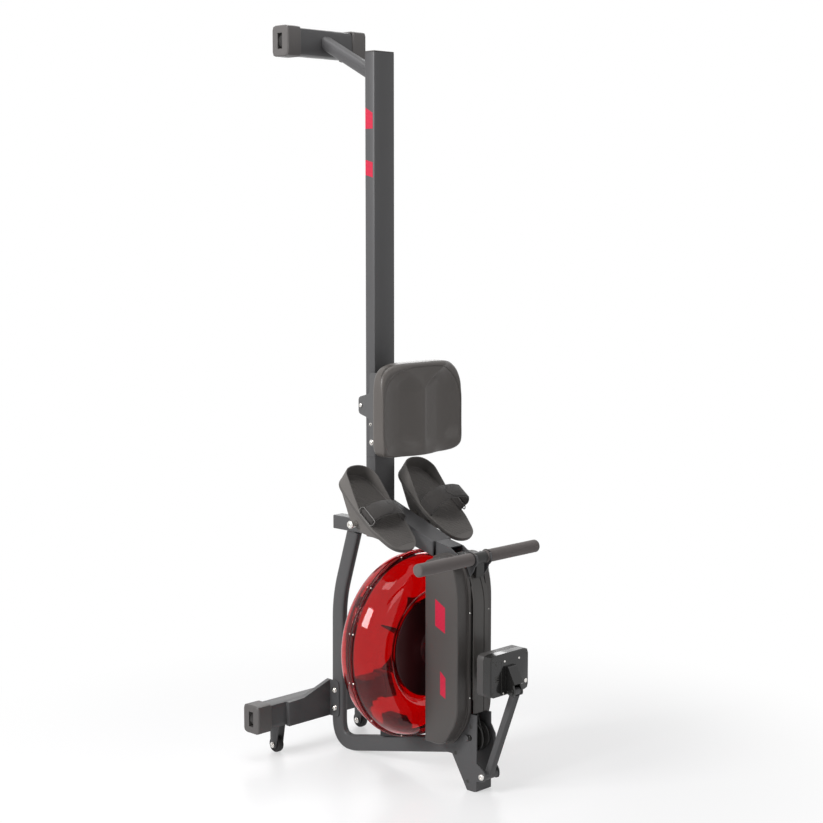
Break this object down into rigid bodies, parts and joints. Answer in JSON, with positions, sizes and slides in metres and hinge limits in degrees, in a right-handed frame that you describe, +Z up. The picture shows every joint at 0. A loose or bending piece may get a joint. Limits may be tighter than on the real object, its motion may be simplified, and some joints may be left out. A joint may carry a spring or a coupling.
{
  "type": "water rowing machine",
  "caption": "Water resistance rowing machine stored upright: rail, sliding seat, tinted water tank, foot plates, pull handle on a strap and a folding console.",
  "frame": {"origin": "middle of the front bracket's foot, on the floor, as the machine stands for storage", "axes": "+X across the machine to its far side, +Z up along the rail as stored, -Y the side that is the top in use"},
  "size_m": [0.546, 0.7745, 2.002],
  "materials": {
    "frame_paint": "satin",
    "black_paint": "satin",
    "casing_plastic": "satin",
    "cap_plastic": "matte",
    "black_plastic": "matte",
    "gloss_plastic": "gloss",
    "rubber": "matte",
    "foam": "matte",
    "webbing": "matte",
    "skin": "matte",
    "zinc": "satin",
    "steel": "satin",
    "red_tank": "gloss"
  },
  "bodies": {
    "base": {"lower_beam": "frame_paint", "seat_rail": "frame_paint", "rail_end_cap": "cap_plastic", "rear_stabiliser": "frame_paint", "rear_end_cap_near": "cap_plastic", "rear_end_cap_far": "cap_plastic", "rear_leg": "frame_paint", "rail_stop_lower": "rubber", "rail_stop_upper": "rubber", "front_stabiliser": "frame_paint", "front_end_cap_near": "cap_plastic", "front_end_cap_far": "cap_plastic", "frame_tube": "frame_paint", "neck": "frame_paint", "front_bracket": "black_paint", "tank_front": "red_tank", "tank_back": "red_tank", "fill_plug": "black_plastic", "tank_gasket": "rubber", "tank_hub": "gloss_plastic", "tank_support": "rubber", "bungee": "rubber", "strap_inner": "webbing", "strap_outer": "webbing", "casing_near": "casing_plastic", "casing_far": "casing_plastic", "centre_cover": "casing_plastic", "arm_pin": "zinc", "foot_axle": "zinc"},
    "seat": {"seat_cushion": "skin", "seat_pan": "black_plastic", "seat_carriage": "black_paint"},
    "roller_upper": {"seat_roller_upper": "zinc"},
    "roller_lower": {"seat_roller_lower": "zinc"},
    "roller_back": {"seat_roller_back": "zinc"},
    "handle": {"handle_bar": "black_paint", "handle_grip_near": "foam", "handle_grip_far": "foam"},
    "drum": {"strap_drum": "black_plastic"},
    "pulley": {"bungee_pulley": "black_plastic"},
    "outlet_roller": {"outlet_roller": "steel"},
    "paddle": {"tank_shaft": "steel", "impeller": "black_plastic"},
    "arm": {"console_arm": "frame_paint"},
    "console": {"console_back": "gloss_plastic", "console_front": "cap_plastic", "console_lens": "gloss_plastic"},
    "button_1": {"console_button_1": "rubber"},
    "button_2": {"console_button_2": "rubber"},
    "button_3": {"console_button_3": "rubber"},
    "wheel_near": {"transport_wheel_near": "rubber"},
    "wheel_far": {"transport_wheel_far": "rubber"},
    "leveller_front_near": {"front_level_wheel_near": "black_plastic"},
    "leveller_front_far": {"front_level_wheel_far": "black_plastic"},
    "leveller_rear_near": {"rear_level_wheel_near": "black_plastic"},
    "leveller_rear_far": {"rear_level_wheel_far": "black_plastic"},
    "foot_near": {"foot_plate_near": "black_plastic", "foot_strap_near": "webbing"},
    "foot_far": {"foot_plate_far": "black_plastic", "foot_strap_far": "webbing"}
  },
  "joints": [
    {"name": "seat_slide", "type": "slide", "parent": "base", "child": "seat", "axis": [0, 0, 1], "range_m": [0, 0.78]},
    {"name": "roller_upper_spin", "type": "hinge", "parent": "seat", "child": "roller_upper", "pos_m": [0, 0.3267, 1.055], "axis": [1, 0, 0], "range_deg": [-2700, 0]},
    {"name": "roller_lower_spin", "type": "hinge", "parent": "seat", "child": "roller_lower", "pos_m": [0, 0.3267, 0.889], "axis": [1, 0, 0], "range_deg": [-2700, 0]},
    {"name": "roller_back_spin", "type": "hinge", "parent": "seat", "child": "roller_back", "pos_m": [0, 0.3883, 0.987], "axis": [1, 0, 0], "range_deg": [0, 5700]},
    {"name": "handle_pull", "type": "slide", "parent": "base", "child": "handle", "axis": [0, 0, 1], "range_m": [0, 1], "stiffness_N_per_m": 20, "springref_m": -0.5, "deforming": ["strap_outer"]},
    {"name": "drum_spin", "type": "hinge", "parent": "base", "child": "drum", "pos_m": [0, 0.078, 0.353], "axis": [0, 1, 0], "range_deg": [-2350, 0]},
    {"name": "pulley_spin", "type": "hinge", "parent": "base", "child": "pulley", "pos_m": [0, 0.014, 0.14], "axis": [1, 0, 0], "range_deg": [-2150, 0]},
    {"name": "outlet_roller_spin", "type": "hinge", "parent": "base", "child": "outlet_roller", "pos_m": [0, 0.068, 0.612], "axis": [1, 0, 0], "range_deg": [0, 6400]},
    {"name": "paddle_spin", "type": "hinge", "parent": "base", "child": "paddle", "pos_m": [0, 0.17, 0.353], "axis": [0, 1, 0], "continuous": true},
    {"name": "console_arm_fold", "type": "hinge", "parent": "base", "child": "arm", "pos_m": [0, -0.038, 0.046], "axis": [1, 0, 0], "range_deg": [0, 68]},
    {"name": "console_tilt", "type": "hinge", "parent": "arm", "child": "console", "pos_m": [0, -0.128, 0.287], "axis": [1, 0, 0], "range_deg": [0, 45]},
    {"name": "button_1_press", "type": "slide", "parent": "console", "child": "button_1", "axis": [0, -1, 0], "range_m": [0, 0.002], "stiffness_N_per_m": 400, "springref_m": -0.001},
    {"name": "button_2_press", "type": "slide", "parent": "console", "child": "button_2", "axis": [0, -1, 0], "range_m": [0, 0.002], "stiffness_N_per_m": 400, "springref_m": -0.001},
    {"name": "button_3_press", "type": "slide", "parent": "console", "child": "button_3", "axis": [0, -1, 0], "range_m": [0, 0.002], "stiffness_N_per_m": 400, "springref_m": -0.001},
    {"name": "wheel_near_roll", "type": "hinge", "parent": "base", "child": "wheel_near", "pos_m": [-0.164, 0.613, 0.0225], "axis": [1, 0, 0], "continuous": true},
    {"name": "wheel_far_roll", "type": "hinge", "parent": "base", "child": "wheel_far", "pos_m": [0.164, 0.613, 0.0225], "axis": [1, 0, 0], "continuous": true},
    {"name": "leveller_front_near_turn", "type": "hinge", "parent": "base", "child": "leveller_front_near", "pos_m": [-0.251, 0.594, 0.12], "axis": [0, 1, 0], "continuous": true},
    {"name": "leveller_front_far_turn", "type": "hinge", "parent": "base", "child": "leveller_front_far", "pos_m": [0.251, 0.594, 0.12], "axis": [0, 1, 0], "continuous": true},
    {"name": "leveller_rear_near_turn", "type": "hinge", "parent": "base", "child": "leveller_rear_near", "pos_m": [-0.124, 0.594, 1.961], "axis": [0, 1, 0], "continuous": true},
    {"name": "leveller_rear_far_turn", "type": "hinge", "parent": "base", "child": "leveller_rear_far", "pos_m": [0.124, 0.594, 1.961], "axis": [0, 1, 0], "continuous": true},
    {"name": "foot_near_pivot", "type": "hinge", "parent": "base", "child": "foot_near", "pos_m": [-0.112, 0.29, 0.69], "axis": [1, 0, 0], "range_deg": [-20, 5]},
    {"name": "foot_far_pivot", "type": "hinge", "parent": "base", "child": "foot_far", "pos_m": [0.112, 0.29, 0.69], "axis": [1, 0, 0], "range_deg": [-20, 5]}
  ],
  "couplings": [
    {"joint": "roller_upper_spin", "follows": "seat_slide", "rad_per_m": -58},
    {"joint": "roller_lower_spin", "follows": "seat_slide", "rad_per_m": -58},
    {"joint": "roller_back_spin", "follows": "seat_slide", "rad_per_m": 120},
    {"joint": "drum_spin", "follows": "handle_pull", "rad_per_m": -39.8},
    {"joint": "pulley_spin", "follows": "handle_pull", "rad_per_m": -35.3},
    {"joint": "outlet_roller_spin", "follows": "handle_pull", "rad_per_m": 109.9}
  ]
}
